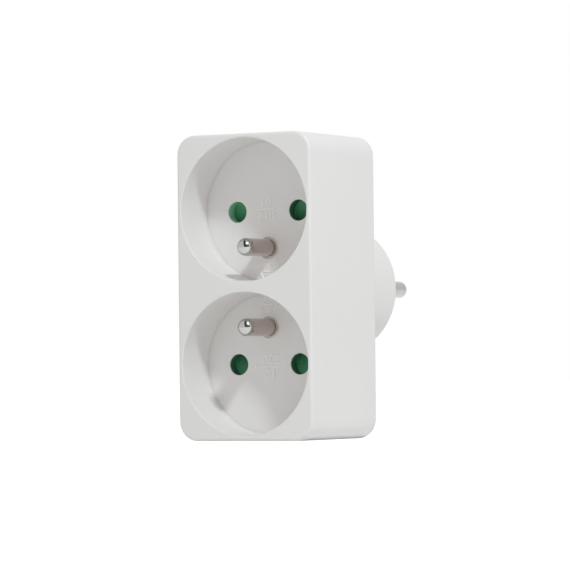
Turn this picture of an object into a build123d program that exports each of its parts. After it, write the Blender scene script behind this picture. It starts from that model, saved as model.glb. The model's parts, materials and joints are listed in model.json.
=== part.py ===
from build123d import *
import os

# Lengths are in millimetres. The model is drawn about the centre of the front face:
# X to the right as seen from the front, Y into the depth, Z up.

# Socket wells
WELL_RADIUS = 19.4
WELL_DEPTH = 13.5
WELL_DRAFT = 0.3
WELL_FILLET = 0.3
SIDE_RIM = 1.25
END_RIM = 1.15
WAIST = 2.8

# Plug pins, contact holes and earth pins
PIN_RADIUS = 2.4
PIN_LENGTH = 19.0
PIN_SPACING = 19.0
PIN_NOSE = 1.6
PIN_SHANK_RADIUS = 2.0
PIN_NECK_RADIUS = 1.6
HOLE_CLEARANCE = 0.5
HOLE_LIP = 0.4
EARTH_OFFSET = 10.0
EARTH_PIN_RADIUS = 2.4
EARTH_PIN_LENGTH = 14.4
EARTH_PIN_NOSE = 2.3
EARTH_GAP = 0.6
EARTH_RECESS = 0.8
EARTH_NECK_RADIUS = 1.8
RIVET_RADIUS = 1.2
RIVET_OVERHANG = 0.9
RIVET_HEAD = 0.8
METAL_FIT = 0.05

# Housing walls and edges
WALL = 2.4
FRONT_WALL = 2.2
TUBE_WALL = 1.5
FLOOR = 2.0
CORNER_RADIUS = 5.3
FRONT_EDGE = 0.8
RIM_EDGE = 0.3
REAR_EDGE = 1.7
COVER_WALL = 2.0
COVER_FIT = 0.12
SEAT_RIB_LENGTH = 8.0
SEAT_RIB_WIDTH = 1.2

# Plug boss on the rear cover
BOSS_CLEARANCE = 1.25
BOSS_DEPTH = 16.8
BOSS_WALL = 2.0
BOSS_FACE = 3.0
BOSS_EDGE = 1.0
PIN_TUBE_WALL = 1.6
EARTH_HOLE_CLEARANCE = 0.6
EARTH_TUBE_LENGTH = 13.0
EARTH_TUBE_RADIUS = 4.3
EARTH_TUBE_WALL = 1.2

# Shutters with their frames, springs and retainers
FRAME_PLATE = 1.2
COLLAR_WALL = 1.25
COLLAR_FIT = 0.1
RUN = 0.2
SHUTTER_THICKNESS = 3.6
SHUTTER_COVER = 0.35
SHUTTER_BAR = 1.45
SHUTTER_END = 0.45
OPEN_ROOM = 0.3
RAMP_TOE = 0.8
RAMP_SIDE = 0.15
RAIL_WIDTH = 3.45
STOP_BAR = 2.0
END_BAR = 0.8
FRAME_FIT = 0.3
SPRING_WIRE = 0.4
SPRING_RADIUS = 1.6
SPRING_TURNS = 5
SPRING_ROOM = 0.5
SPRING_SEAT = 1.2
SPRING_GAP = 0.08
PEG_RADIUS = 1.1
PEG_LENGTH = 2.4
CHANNEL_WALL = 1.2
RETAINER_PLATE = 1.2
PILLAR_RADIUS = 1.3
PILLAR_INSET = 0.3
PILLAR_GAP = 1.15

# Brass strips and spring clips
STRIP_THICKNESS = 0.8
STRIP_WEB = 5.0
STRIP_END = 1.5
TIP_ROOM = 2.0
CLIP_LENGTH = 6.0
CLIP_FOOT = 1.2
CLIP_PINCH = 0.2
CLIP_FLARE = 3.4
CLIP_ROOM = 0.8
BEND = 1.0
EARTH_STRIP_THICKNESS = 1.0
EARTH_STRIP_WIDTH = 7.0
EARTH_SHEET = 0.6
EARTH_TAIL_WIDTH = 5.0
EARTH_CLIP_FIT = 0.65
EARTH_FOOT_LENGTH = 6.0
EARTH_LEAF_LENGTH = 12.2
EARTH_LEAF_FLARE = 3.4
EARTH_LEAF_ROOM = 0.5

# Screws that hold the rear cover
SCREW_RADIUS = 1.25
SCREW_HEAD_RADIUS = 2.5
SCREW_SINK = 1.3
SCREW_LENGTH = 14.0
SCREW_FIT = 0.06
SCREW_BOSS_RADIUS = 2.6
SCREW_BOSS_INSET = 3.4
SCREW_BOSS_WEB = 1.2
SCREW_SLOT = 0.7
SCREW_SLOT_DEPTH = 0.8

# Outline that follows from the wells and their rims
WELL_Z = WELL_RADIUS + WAIST / 2
BODY_WIDTH = 2 * (WELL_RADIUS + SIDE_RIM)
BODY_HEIGHT = 2 * (WELL_Z + WELL_RADIUS + END_RIM)
INNER_WIDTH = BODY_WIDTH - 2 * WALL
INNER_HEIGHT = BODY_HEIGHT - 2 * WALL
BOSS_RADIUS = WELL_RADIUS - BOSS_CLEARANCE
HOLE_X = PIN_SPACING / 2
HOLE_RADIUS = PIN_RADIUS + HOLE_CLEARANCE
EARTH_Z = WELL_Z - EARTH_OFFSET

# Stations along the depth, from the front face
FLOOR_BACK = WELL_DEPTH + FLOOR
RAIL_FRONT = FLOOR_BACK + FRAME_PLATE
SHUTTER_FRONT = RAIL_FRONT + RUN
SHUTTER_BACK = SHUTTER_FRONT + SHUTTER_THICKNESS
RETAINER_FRONT = SHUTTER_BACK + RUN
RETAINER_BACK = RETAINER_FRONT + RETAINER_PLATE
STRIP_FRONT = WELL_DEPTH + PIN_LENGTH + TIP_ROOM
COVER_FRONT = STRIP_FRONT + STRIP_THICKNESS
BODY_DEPTH = COVER_FRONT + COVER_WALL
BOSS_END = BODY_DEPTH + BOSS_DEPTH
BOSS_INSIDE = BOSS_END - BOSS_FACE
PLUG_END = BOSS_END + PIN_LENGTH
EARTH_TIP = WELL_DEPTH - EARTH_PIN_LENGTH
EARTH_SEAT = WELL_DEPTH + EARTH_RECESS
EARTH_TUBE_FRONT = BOSS_INSIDE - EARTH_TUBE_LENGTH
EARTH_FOOT_FRONT = FLOOR_BACK + EARTH_STRIP_THICKNESS

# Places across the upper socket, measured outwards from its centre
SHUTTER_INNER = -(HOLE_RADIUS + SHUTTER_COVER)
SHUTTER_OUTER = HOLE_RADIUS + SHUTTER_BAR
SHUTTER_TRAVEL = PIN_RADIUS + OPEN_ROOM - SHUTTER_INNER
SHUTTER_HALF = HOLE_X + HOLE_RADIUS + SHUTTER_END
FRAME_HALF = SHUTTER_HALF + RUN + RAIL_WIDTH
FRAME_INNER = SHUTTER_INNER - RUN - STOP_BAR
POCKET_OUTER = SHUTTER_OUTER + SHUTTER_TRAVEL + RUN
FRAME_OUTER = POCKET_OUTER + END_BAR
CHANNEL_HALF = SPRING_RADIUS + SPRING_WIRE / 2 + SPRING_ROOM
TAIL_OUTER = INNER_HEIGHT / 2 - WELL_Z - FRAME_FIT
SEAT_FACE = TAIL_OUTER - SPRING_SEAT
SPRING_DEPTH = (SHUTTER_FRONT + SHUTTER_BACK) / 2

# The earth clip's tail comes down on the earth strip below the middle
EARTH_RIVET_Z = -(EARTH_FOOT_LENGTH + EARTH_SHEET) / 2

# The lower socket is the upper one turned half round
HALF_TURN = Rot(0, 180, 0)

# The finished part stands on its lower end, centred on the length from front to pin tips
FRONT_END = min(0, EARTH_TIP)
STANDING = Pos(0, -(FRONT_END + PLUG_END) / 2, BODY_HEIGHT / 2)


def slab(face, front, back):
    """A face drawn in X and Z, given thickness between two depths."""
    return extrude(Plane.XZ.offset(-front) * face, amount=back - front, dir=(0, 1, 0))


def disc(radius, front, back, x=0, z=0):
    """A round bar along the depth."""
    return slab(Pos(x, z) * Circle(radius), front, back)


def panel(low_x, high_x, low_z, high_z):
    """A rectangle in X and Z between its four sides."""
    centre = Pos((low_x + high_x) / 2, (low_z + high_z) / 2)
    return centre * Rectangle(high_x - low_x, high_z - low_z)


def fold(points, thickness):
    """The cross-section of a sheet folded along its centre line."""
    return trace(FilletPolyline(*points, radius=BEND), line_width=thickness)


def inner_outline(gap):
    """The outline inside the housing's walls, drawn in by a gap."""
    radius = max(CORNER_RADIUS - WALL - gap, gap)
    return RectangleRounded(INNER_WIDTH - 2 * gap, INNER_HEIGHT - 2 * gap, radius)


def pin_places():
    """The two contact places of the upper socket."""
    return [(-HOLE_X, WELL_Z), (HOLE_X, WELL_Z)]


def screw_places():
    """One place in each corner of the cavity."""
    x = INNER_WIDTH / 2 - SCREW_BOSS_INSET
    z = INNER_HEIGHT / 2 - SCREW_BOSS_INSET
    return [(-x, -z), (x, -z), (-x, z), (x, z)]


def boss_outline(x, z):
    """A screw boss with a web to each of the two walls beside it."""
    wall_x = INNER_WIDTH / 2 if x > 0 else -INNER_WIDTH / 2
    wall_z = INNER_HEIGHT / 2 if z > 0 else -INNER_HEIGHT / 2
    half_web = SCREW_BOSS_WEB / 2
    outline = Pos(x, z) * Circle(SCREW_BOSS_RADIUS)
    outline += panel(min(x, wall_x), max(x, wall_x), z - half_web, z + half_web)
    return outline + panel(x - half_web, x + half_web, min(z, wall_z), max(z, wall_z))


def pillar_places():
    """Over both frames' rails, beside the screw bosses."""
    x = FRAME_HALF - PILLAR_RADIUS - PILLAR_INSET
    boss_z = INNER_HEIGHT / 2 - SCREW_BOSS_INSET
    z = boss_z - SCREW_BOSS_RADIUS - PILLAR_GAP - PILLAR_RADIUS
    return [(-x, -z), (x, -z), (-x, z), (x, z)]


def screw_form(x, z, grow):
    """A countersunk screw, or the hole for it where it is grown by a clearance."""
    head_front = BODY_DEPTH - SCREW_SINK
    shank = disc(SCREW_RADIUS + grow, BODY_DEPTH - SCREW_LENGTH - grow, BODY_DEPTH, x, z)
    head = Cone(
        SCREW_RADIUS + grow,
        SCREW_HEAD_RADIUS + grow,
        SCREW_SINK,
        align=(Align.CENTER, Align.CENTER, Align.MIN),
    )
    return shank + Pos(x, head_front, z) * Rot(-90, 0, 0) * head


def well():
    """The tapered hollow of the upper socket, with its floor's corner rounded."""
    form = Cone(
        WELL_RADIUS,
        WELL_RADIUS - WELL_DRAFT,
        WELL_DEPTH,
        align=(Align.CENTER, Align.CENTER, Align.MIN),
    )
    form = Rot(-90, 0, 0) * form
    form = fillet(form.edges().sort_by(Axis.Y)[-1], WELL_FILLET)
    return Pos(0, 0, WELL_Z) * form


def socket_cuts():
    """What is taken out of the housing for the upper socket."""
    cuts = well()
    for x, z in pin_places():
        cuts += disc(HOLE_RADIUS, WELL_DEPTH, FLOOR_BACK, x, z)
        collar = HOLE_RADIUS + COLLAR_WALL + COLLAR_FIT
        cuts += disc(collar, WELL_DEPTH + HOLE_LIP, FLOOR_BACK, x, z)
    cuts += disc(EARTH_PIN_RADIUS + EARTH_GAP, WELL_DEPTH, EARTH_SEAT, 0, EARTH_Z)
    return cuts + disc(EARTH_NECK_RADIUS + METAL_FIT, EARTH_SEAT, FLOOR_BACK, 0, EARTH_Z)


def cores():
    """Hollows behind the front face, between the outer walls and the well tubes."""
    hollow = slab(inner_outline(0), FRONT_WALL, FLOOR_BACK)
    for z in (-WELL_Z, WELL_Z):
        hollow -= disc(WELL_RADIUS + TUBE_WALL, FRONT_WALL, FLOOR_BACK, 0, z)
    return hollow


def front_housing():
    body = slab(RectangleRounded(BODY_WIDTH, BODY_HEIGHT, CORNER_RADIUS), 0, BODY_DEPTH)
    front_edge = min(FRONT_EDGE, 0.95 * (min(SIDE_RIM, END_RIM) - RIM_EDGE))
    rear_edge = min(REAR_EDGE, 0.9 * WALL)
    body = fillet(body.faces().sort_by(Axis.Y)[0].edges(), front_edge)
    body = fillet(body.faces().sort_by(Axis.Y)[-1].edges(), rear_edge)
    body -= slab(inner_outline(0), FLOOR_BACK, BODY_DEPTH)
    body -= cores()

    for x, z in screw_places():
        body += slab(boss_outline(x, z), FRONT_WALL, COVER_FRONT)
    side = INNER_WIDTH / 2
    for low_x, high_x in ((-side, SEAT_RIB_WIDTH - side), (side - SEAT_RIB_WIDTH, side)):
        rib = panel(low_x, high_x, -SEAT_RIB_LENGTH / 2, SEAT_RIB_LENGTH / 2)
        body += slab(rib, FRONT_WALL, COVER_FRONT)

    cuts = socket_cuts()
    body -= cuts
    body -= HALF_TURN * cuts
    for x, z in screw_places():
        body -= screw_form(x, z, SCREW_FIT)
    rivet_recess = RIVET_RADIUS + RIVET_OVERHANG + RUN
    body -= disc(rivet_recess, FLOOR_BACK - RIVET_HEAD - RUN, FLOOR_BACK, 0, EARTH_RIVET_Z)

    rims = body.edges().filter_by(GeomType.CIRCLE)
    rims = rims.filter_by(lambda edge: abs(edge.radius - WELL_RADIUS) < 1e-3)
    return fillet(rims, RIM_EDGE)


def rear_cover():
    cover = slab(inner_outline(COVER_FIT), COVER_FRONT, BODY_DEPTH)
    boss = disc(BOSS_RADIUS, BODY_DEPTH, BOSS_END)
    cover += fillet(boss.edges().sort_by(Axis.Y)[-1], BOSS_EDGE)
    cover -= disc(BOSS_RADIUS - BOSS_WALL, COVER_FRONT, BOSS_INSIDE)

    pin_bore = PIN_SHANK_RADIUS + METAL_FIT
    for x in (-HOLE_X, HOLE_X):
        cover += disc(pin_bore + PIN_TUBE_WALL, COVER_FRONT, BOSS_INSIDE, x, 0)
        cover -= disc(pin_bore, COVER_FRONT, BOSS_END, x, 0)
    earth_outer = EARTH_TUBE_RADIUS + EARTH_TUBE_WALL
    cover += disc(earth_outer, EARTH_TUBE_FRONT, BOSS_INSIDE, 0, EARTH_OFFSET)
    cover -= disc(EARTH_TUBE_RADIUS, EARTH_TUBE_FRONT, BOSS_INSIDE, 0, EARTH_OFFSET)
    earth_hole = EARTH_PIN_RADIUS + EARTH_HOLE_CLEARANCE
    cover -= disc(earth_hole, BOSS_INSIDE, BOSS_END, 0, EARTH_OFFSET)

    for x, z in pillar_places():
        cover += disc(PILLAR_RADIUS, RETAINER_BACK, COVER_FRONT, x, z)
    for x, z in screw_places():
        cover -= screw_form(x, z, SCREW_FIT)
    return cover


def frame_outline():
    """The wide part round the slider and the narrow tail round the spring."""
    wide = panel(-FRAME_HALF, FRAME_HALF, FRAME_INNER, FRAME_OUTER)
    tail_half = CHANNEL_HALF + CHANNEL_WALL
    tail = panel(-tail_half, tail_half, FRAME_OUTER, TAIL_OUTER)
    notch = EARTH_STRIP_WIDTH / 2 + FRAME_FIT
    outline = Pos(0, WELL_Z) * (wide + tail - Pos(0, -EARTH_OFFSET) * Circle(notch))
    for x, z in screw_places():
        outline -= Pos(x, z) * Circle(SCREW_BOSS_RADIUS + FRAME_FIT)
    return outline & inner_outline(FRAME_FIT)


def spring_peg(low_z, high_z):
    """A stub along Z inside the spring's end, for the upper socket."""
    peg = Cylinder(PEG_RADIUS, high_z - low_z, align=(Align.CENTER, Align.CENTER, Align.MIN))
    return Pos(0, SPRING_DEPTH, WELL_Z + low_z) * peg


def shutter_frame():
    frame = slab(frame_outline(), FLOOR_BACK, RETAINER_FRONT)
    pocket_half = SHUTTER_HALF + RUN
    pocket = panel(-pocket_half, pocket_half, SHUTTER_INNER - RUN, POCKET_OUTER)
    channel = panel(-CHANNEL_HALF, CHANNEL_HALF, POCKET_OUTER, SEAT_FACE)
    frame -= slab(Pos(0, WELL_Z) * (pocket + channel), RAIL_FRONT, RETAINER_FRONT)
    for x, z in pin_places():
        frame += disc(HOLE_RADIUS + COLLAR_WALL, WELL_DEPTH + HOLE_LIP, FLOOR_BACK, x, z)
        frame -= disc(HOLE_RADIUS, WELL_DEPTH + HOLE_LIP, RAIL_FRONT, x, z)
    return frame + spring_peg(SEAT_FACE - PEG_LENGTH, SEAT_FACE)


def shutter():
    """A bar with a ramp under each contact hole, which the two plug pins push aside."""
    bar = panel(-SHUTTER_HALF, SHUTTER_HALF, SHUTTER_INNER, SHUTTER_OUTER)
    slider = slab(Pos(0, WELL_Z) * bar, SHUTTER_FRONT, SHUTTER_BACK)
    toe = WELL_Z + SHUTTER_INNER
    top = WELL_Z + HOLE_RADIUS
    ramp = Polygon(
        (SHUTTER_FRONT, toe),
        (SHUTTER_BACK - RAMP_TOE, toe),
        (SHUTTER_FRONT, top),
        align=None,
    )
    for x, _ in pin_places():
        cut = extrude(Plane.YZ.offset(x) * ramp, amount=HOLE_RADIUS + RAMP_SIDE, both=True)
        slider -= cut
    return slider + spring_peg(SHUTTER_OUTER, SHUTTER_OUTER + PEG_LENGTH)


def shutter_spring():
    """A coil spring from the slider's edge to the frame's seat, bent in half turns."""
    inset = SPRING_WIRE / 2 + SPRING_GAP
    length = SEAT_FACE - SHUTTER_OUTER - 2 * inset
    rise = length / (2 * SPRING_TURNS)
    half_turns = []
    for step in range(2 * SPRING_TURNS):
        side = 1 if step % 2 == 0 else -1
        start = (side * SPRING_RADIUS, 0, step * rise)
        axis = Axis((0, 0, (step + 0.5) * rise), (side * rise / 2, 0, SPRING_RADIUS))
        section = Plane(start, z_dir=(0, side, 0)) * Circle(SPRING_WIRE / 2)
        half_turns.append(revolve(section, axis, 180))
    coil = Part() + half_turns
    return Pos(0, SPRING_DEPTH, WELL_Z + SHUTTER_OUTER + inset) * coil


def retainer_plate():
    plate = slab(frame_outline(), RETAINER_FRONT, RETAINER_BACK)
    for x, z in pin_places():
        plate -= disc(HOLE_RADIUS, RETAINER_FRONT, RETAINER_BACK, x, z)
    return plate


def earth_pin():
    """A turned pin: round nose, shoulder in the floor's recess, neck riveted over the strip."""
    shaft = disc(EARTH_PIN_RADIUS, EARTH_TIP, EARTH_SEAT)
    pin = fillet(shaft.edges().sort_by(Axis.Y)[0], EARTH_PIN_NOSE)
    pin += disc(EARTH_NECK_RADIUS, EARTH_SEAT, EARTH_FOOT_FRONT)
    head = EARTH_NECK_RADIUS + RIVET_OVERHANG
    pin += disc(head, EARTH_FOOT_FRONT, EARTH_FOOT_FRONT + RIVET_HEAD)
    return Pos(0, 0, EARTH_Z) * pin


def earth_strip():
    outline = SlotCenterToCenter(2 * EARTH_Z, EARTH_STRIP_WIDTH, rotation=90)
    strip = slab(outline, FLOOR_BACK, EARTH_FOOT_FRONT)
    for z in (-EARTH_Z, EARTH_Z):
        strip -= disc(EARTH_NECK_RADIUS + METAL_FIT, FLOOR_BACK, EARTH_FOOT_FRONT, 0, z)
    return strip - disc(RIVET_RADIUS + METAL_FIT, FLOOR_BACK, EARTH_FOOT_FRONT, 0, EARTH_RIVET_Z)


def earth_rivet():
    back = EARTH_FOOT_FRONT + EARTH_SHEET
    head = RIVET_RADIUS + RIVET_OVERHANG
    rivet = disc(RIVET_RADIUS, FLOOR_BACK, back, 0, EARTH_RIVET_Z)
    rivet += disc(head, FLOOR_BACK - RIVET_HEAD, FLOOR_BACK, 0, EARTH_RIVET_Z)
    return rivet + disc(head, back, back + RIVET_HEAD, 0, EARTH_RIVET_Z)


def plug_earth_clip():
    """One folded sheet: two leaves behind the plug's earth hole, and a tail with a foot."""
    half_sheet = EARTH_SHEET / 2
    base = EARTH_TUBE_FRONT - half_sheet
    foot = EARTH_FOOT_FRONT + half_sheet
    top = BOSS_RADIUS - BOSS_WALL - EARTH_CLIP_FIT
    tail = fold([(base, top), (base, 0), (foot, 0), (foot, -EARTH_FOOT_LENGTH)], EARTH_SHEET)
    clip = extrude(Plane.YZ * tail, amount=EARTH_TAIL_WIDTH / 2, both=True)

    pinch = EARTH_PIN_RADIUS - CLIP_PINCH + half_sheet
    spread = EARTH_PIN_RADIUS + EARTH_LEAF_ROOM
    leaf_end = base + EARTH_LEAF_LENGTH
    right = [(spread, base), (pinch, leaf_end - EARTH_LEAF_FLARE), (spread, leaf_end)]
    left = [(-x, y) for x, y in reversed(right)]
    leaves = extrude(fold(left + right, EARTH_SHEET), amount=EARTH_TAIL_WIDTH / 2, both=True)
    clip += Pos(0, 0, EARTH_OFFSET) * leaves
    return clip - disc(RIVET_RADIUS + METAL_FIT, foot - half_sheet, foot + half_sheet, 0, EARTH_RIVET_Z)


def contact_strip():
    """The right-hand strip: a web with a pad at each end, its clips folded up, and a pin seat."""
    half_sheet = STRIP_THICKNESS / 2
    spread = PIN_RADIUS + CLIP_FOOT
    pad_width = 2 * (spread + half_sheet)
    half_length = WELL_Z + CLIP_LENGTH / 2 + STRIP_END
    web = Rectangle(STRIP_WEB, 2 * half_length) + Circle(pad_width / 2)
    for z in (-WELL_Z, WELL_Z):
        web += Pos(0, z) * Rectangle(pad_width, CLIP_LENGTH)
    strip = slab(web - Circle(PIN_NECK_RADIUS + METAL_FIT), STRIP_FRONT, COVER_FRONT)

    base = STRIP_FRONT + half_sheet
    mouth = RETAINER_BACK + CLIP_ROOM
    pinch = PIN_RADIUS - CLIP_PINCH + half_sheet
    right = [(spread, base), (pinch, mouth + CLIP_FLARE), (spread, mouth)]
    left = [(-x, y) for x, y in reversed(right)]
    clip = extrude(fold(left + right, STRIP_THICKNESS), amount=CLIP_LENGTH / 2, both=True)
    for z in (-WELL_Z, WELL_Z):
        strip -= slab(Pos(0, z) * Rectangle(pad_width, CLIP_LENGTH), STRIP_FRONT, COVER_FRONT)
        strip += Pos(0, 0, z) * clip
    return Pos(HOLE_X, 0, 0) * strip


def plug_pin():
    """The right-hand pin: its shoulder on the plug's face, its neck riveted over the strip."""
    shaft = disc(PIN_RADIUS, BOSS_END, PLUG_END, HOLE_X, 0)
    pin = fillet(shaft.edges().sort_by(Axis.Y)[-1], PIN_NOSE)
    pin += disc(PIN_SHANK_RADIUS, COVER_FRONT, BOSS_END, HOLE_X, 0)
    pin += disc(PIN_NECK_RADIUS, STRIP_FRONT, COVER_FRONT, HOLE_X, 0)
    head = PIN_NECK_RADIUS + RIVET_OVERHANG
    return pin + disc(head, STRIP_FRONT - RIVET_HEAD, STRIP_FRONT, HOLE_X, 0)


def housing_screws():
    """Four equal screws with a cross slot in each head."""
    screws = []
    slot_front = BODY_DEPTH - SCREW_SLOT_DEPTH
    for x, z in screw_places():
        cross = Rectangle(2 * SCREW_RADIUS, SCREW_SLOT) + Rectangle(SCREW_SLOT, 2 * SCREW_RADIUS)
        screw = screw_form(x, z, 0) - slab(Pos(x, z) * cross, slot_front, BODY_DEPTH)
        screws += screw.solids()
    return Compound(screws)


def parts():
    """Every piece under its own name, about the centre of the front face."""
    upper = {
        "shutter": shutter(),
        "shutter_frame": shutter_frame(),
        "shutter_spring": shutter_spring(),
        "retainer_plate": retainer_plate(),
        "earth_pin": earth_pin(),
    }
    sides = {"contact_strip": contact_strip(), "plug_pin": plug_pin()}
    pieces = {
        "front_housing": front_housing(),
        "rear_cover": rear_cover(),
        "earth_strip": earth_strip(),
        "earth_rivet": earth_rivet(),
        "plug_earth_clip": plug_earth_clip(),
        "housing_screws": housing_screws(),
    }
    for name, piece in upper.items():
        pieces["upper_" + name] = piece
        pieces["lower_" + name] = HALF_TURN * piece
    for name, piece in sides.items():
        pieces["right_" + name] = piece
        pieces["left_" + name] = Pos(-PIN_SPACING, 0, 0) * piece
    return pieces


def main():
    os.makedirs("parts", exist_ok=True)
    for name, piece in parts().items():
        export_step(STANDING * piece, os.path.join("parts", name + ".step"))


if __name__ == "__main__":
    main()
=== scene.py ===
import json
import math

import bmesh
import bpy
from mathutils import Matrix, Vector


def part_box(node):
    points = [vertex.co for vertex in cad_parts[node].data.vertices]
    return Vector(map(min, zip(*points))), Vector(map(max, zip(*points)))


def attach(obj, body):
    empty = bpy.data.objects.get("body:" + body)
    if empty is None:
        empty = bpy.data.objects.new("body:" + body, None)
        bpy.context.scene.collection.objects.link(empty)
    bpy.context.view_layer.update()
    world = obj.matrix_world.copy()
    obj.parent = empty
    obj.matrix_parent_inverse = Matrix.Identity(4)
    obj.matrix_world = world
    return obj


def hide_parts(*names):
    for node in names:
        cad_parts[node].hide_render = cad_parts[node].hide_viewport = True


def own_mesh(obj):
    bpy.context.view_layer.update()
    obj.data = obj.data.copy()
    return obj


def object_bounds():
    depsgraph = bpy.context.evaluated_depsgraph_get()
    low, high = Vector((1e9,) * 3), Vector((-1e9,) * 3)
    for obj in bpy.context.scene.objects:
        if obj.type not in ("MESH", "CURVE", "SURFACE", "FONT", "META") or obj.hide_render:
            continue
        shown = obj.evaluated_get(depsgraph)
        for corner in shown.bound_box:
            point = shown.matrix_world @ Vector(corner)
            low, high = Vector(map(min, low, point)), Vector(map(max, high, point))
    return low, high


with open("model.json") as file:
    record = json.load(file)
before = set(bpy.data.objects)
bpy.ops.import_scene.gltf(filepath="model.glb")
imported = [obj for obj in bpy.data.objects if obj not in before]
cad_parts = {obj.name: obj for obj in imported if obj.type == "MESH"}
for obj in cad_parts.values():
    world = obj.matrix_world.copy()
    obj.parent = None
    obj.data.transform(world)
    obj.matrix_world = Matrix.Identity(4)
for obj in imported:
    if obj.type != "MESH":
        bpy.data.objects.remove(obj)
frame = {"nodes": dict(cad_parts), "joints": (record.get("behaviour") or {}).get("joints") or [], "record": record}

bl_info = {
    "name": "Socket Adapter Finish",
    "version": (1, 0, 0),
    "blender": (4, 5, 0),
    "location": "3D View > Sidebar > Adapter",
    "description": "Finishes, raised signs and studio for a two-way socket adapter",
    "category": "Object",
}

CAD_BOX = [list(corner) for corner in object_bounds()]
HOUSING = "housing"
LEVELS = ("upper", "lower")

# Nodes that share a finish
WHITE_NODES = ("front_housing", "rear_cover")
SLIDERS = ("upper_shutter", "lower_shutter")
SLIDER_FRAMES = ("upper_shutter_frame", "lower_shutter_frame")
INNER_PLASTIC_NODES = ("upper_retainer_plate", "lower_retainer_plate")
EARTH_PINS = ("upper_earth_pin", "lower_earth_pin")
PLUG_PINS = ("left_plug_pin", "right_plug_pin")
BRASS_NODES = (
    "left_contact_strip",
    "right_contact_strip",
    "earth_strip",
    "plug_earth_clip",
    "earth_rivet",
)
SCREWS = "housing_screws"

# Finishes of the plastics: the housing and the signs moulded on it, and the pieces inside
SATIN = {"roughness": 0.42, "specular": 0.5, "speck_share": 0.03}
SLIDER_FINISH = {"roughness": 0.5, "specular": 0.3, "speck_share": 0.02}
FRAME_FINISH = {"roughness": 0.55, "specular": 0.2, "speck_share": 0.02}
INNER_FINISH = {"roughness": 0.5, "specular": 0.5, "speck_share": 0.02}

# Where an earth pin's colour changes, from its tip and from the well's floor
# Painted reflection at the tip: its colour stands in for the white surroundings it reflects
TIP_CHANGE = (0.0024, 0.0012)
# Painted light at the foot: the pin is lightened against the shade in its recess
FOOT_LIGHTENING = (-0.0004, 0.0001)
# Painted light on the upper frame's green: it is full left of the middle of the upper left contact hole and gone
# at this distance to the right of it
PAINTED_LIGHT_REACH = 0.002

# Proportions of the raised figures: height to font size, and bevel to relief
FIGURE_HEIGHT = 0.7
FIGURE_BEVEL = 0.4

# Directions from the object to the corners of the dark card, in pairs along its two arms
CARD_ABOVE = ((-0.31, -0.09, 0.95), (-0.06, -0.05, 1.0))
CARD_FRONT = ((0.36, -0.86, 0.38), (0.04, -1.0, 0.0))
CARD_RIGHT = ((0.89, -0.45, 0.0), (0.85, -0.39, 0.36))

MILLIMETRE = 0.001
MERGE_DISTANCE = 0.000001
SHARP_ANGLE = math.radians(40)
SENSOR_WIDTH = 36.0
BLACK = (0.0, 0.0, 0.0, 1.0)
WHITE = (1.0, 1.0, 1.0, 1.0)


class WellMarkSizes(bpy.types.PropertyGroup):
    """Sizes of the signs moulded on each well's floor, and of the painted shade in its corner."""

    well_radius: bpy.props.FloatProperty(
        name="Well radius",
        description="Radius of each well's wall",
        default=0.0194,
        unit="LENGTH",
    )
    corner_reach: bpy.props.FloatProperty(
        name="Corner reach",
        description="Width of the shade in the corner of wall and floor",
        default=0.0012,
        unit="LENGTH",
    )
    corner_shade: bpy.props.FloatProperty(
        name="Corner shade",
        description="Darkness of that shade",
        default=0.22,
        subtype="FACTOR",
    )
    line_width: bpy.props.FloatProperty(
        name="Line width",
        description="Width of each raised line",
        default=0.00048,
        unit="LENGTH",
    )
    relief: bpy.props.FloatProperty(
        name="Relief",
        description="Height of the signs above the floor",
        default=0.0002,
        unit="LENGTH",
    )
    ring_radius: bpy.props.FloatProperty(
        name="Ring radius",
        description="Radius of the ring round the earth sign",
        default=0.0023,
        unit="LENGTH",
    )
    sign_offset: bpy.props.FloatProperty(
        name="Earth sign offset",
        description="From the line of the contact holes to the earth sign",
        default=0.0164,
        unit="LENGTH",
    )
    longest_bar: bpy.props.FloatProperty(
        name="Longest bar",
        description="Length of the earth sign's longest bar",
        default=0.0026,
        unit="LENGTH",
    )
    bar_spacing: bpy.props.FloatProperty(
        name="Bar spacing",
        description="Distance between the earth sign's bars",
        default=0.00072,
        unit="LENGTH",
    )
    bar_count: bpy.props.IntProperty(
        name="Bars",
        description="Number of bars in the earth sign",
        default=3,
        min=1,
    )
    upper_number: bpy.props.StringProperty(
        name="Upper number",
        description="Number above the dividing line",
        default="10",
    )
    lower_number: bpy.props.StringProperty(
        name="Lower number",
        description="Number under the dividing line",
        default="230",
    )
    number_height: bpy.props.FloatProperty(
        name="Number height",
        description="Height of the figures",
        default=0.0026,
        unit="LENGTH",
    )
    divider_length: bpy.props.FloatProperty(
        name="Divider length",
        description="Length of the line between the two numbers",
        default=0.0062,
        unit="LENGTH",
    )
    divider_offset: bpy.props.FloatVectorProperty(
        name="Divider offset",
        description="From the socket's centre to the middle of the dividing line",
        default=(-0.0005, 0.00065),
        size=2,
        unit="LENGTH",
    )
    number_gap: bpy.props.FloatProperty(
        name="Number gap",
        description="From the dividing line to the figures",
        default=0.0007,
        unit="LENGTH",
    )
    wave_length: bpy.props.FloatProperty(
        name="Wave length",
        description="Length of the wave sign",
        default=0.0022,
        unit="LENGTH",
    )
    wave_height: bpy.props.FloatProperty(
        name="Wave height",
        description="Rise and fall of the wave sign",
        default=0.00036,
        unit="LENGTH",
    )
    wave_gap: bpy.props.FloatProperty(
        name="Wave gap",
        description="From the dividing line's end to the wave sign",
        default=0.0008,
        unit="LENGTH",
    )


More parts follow.
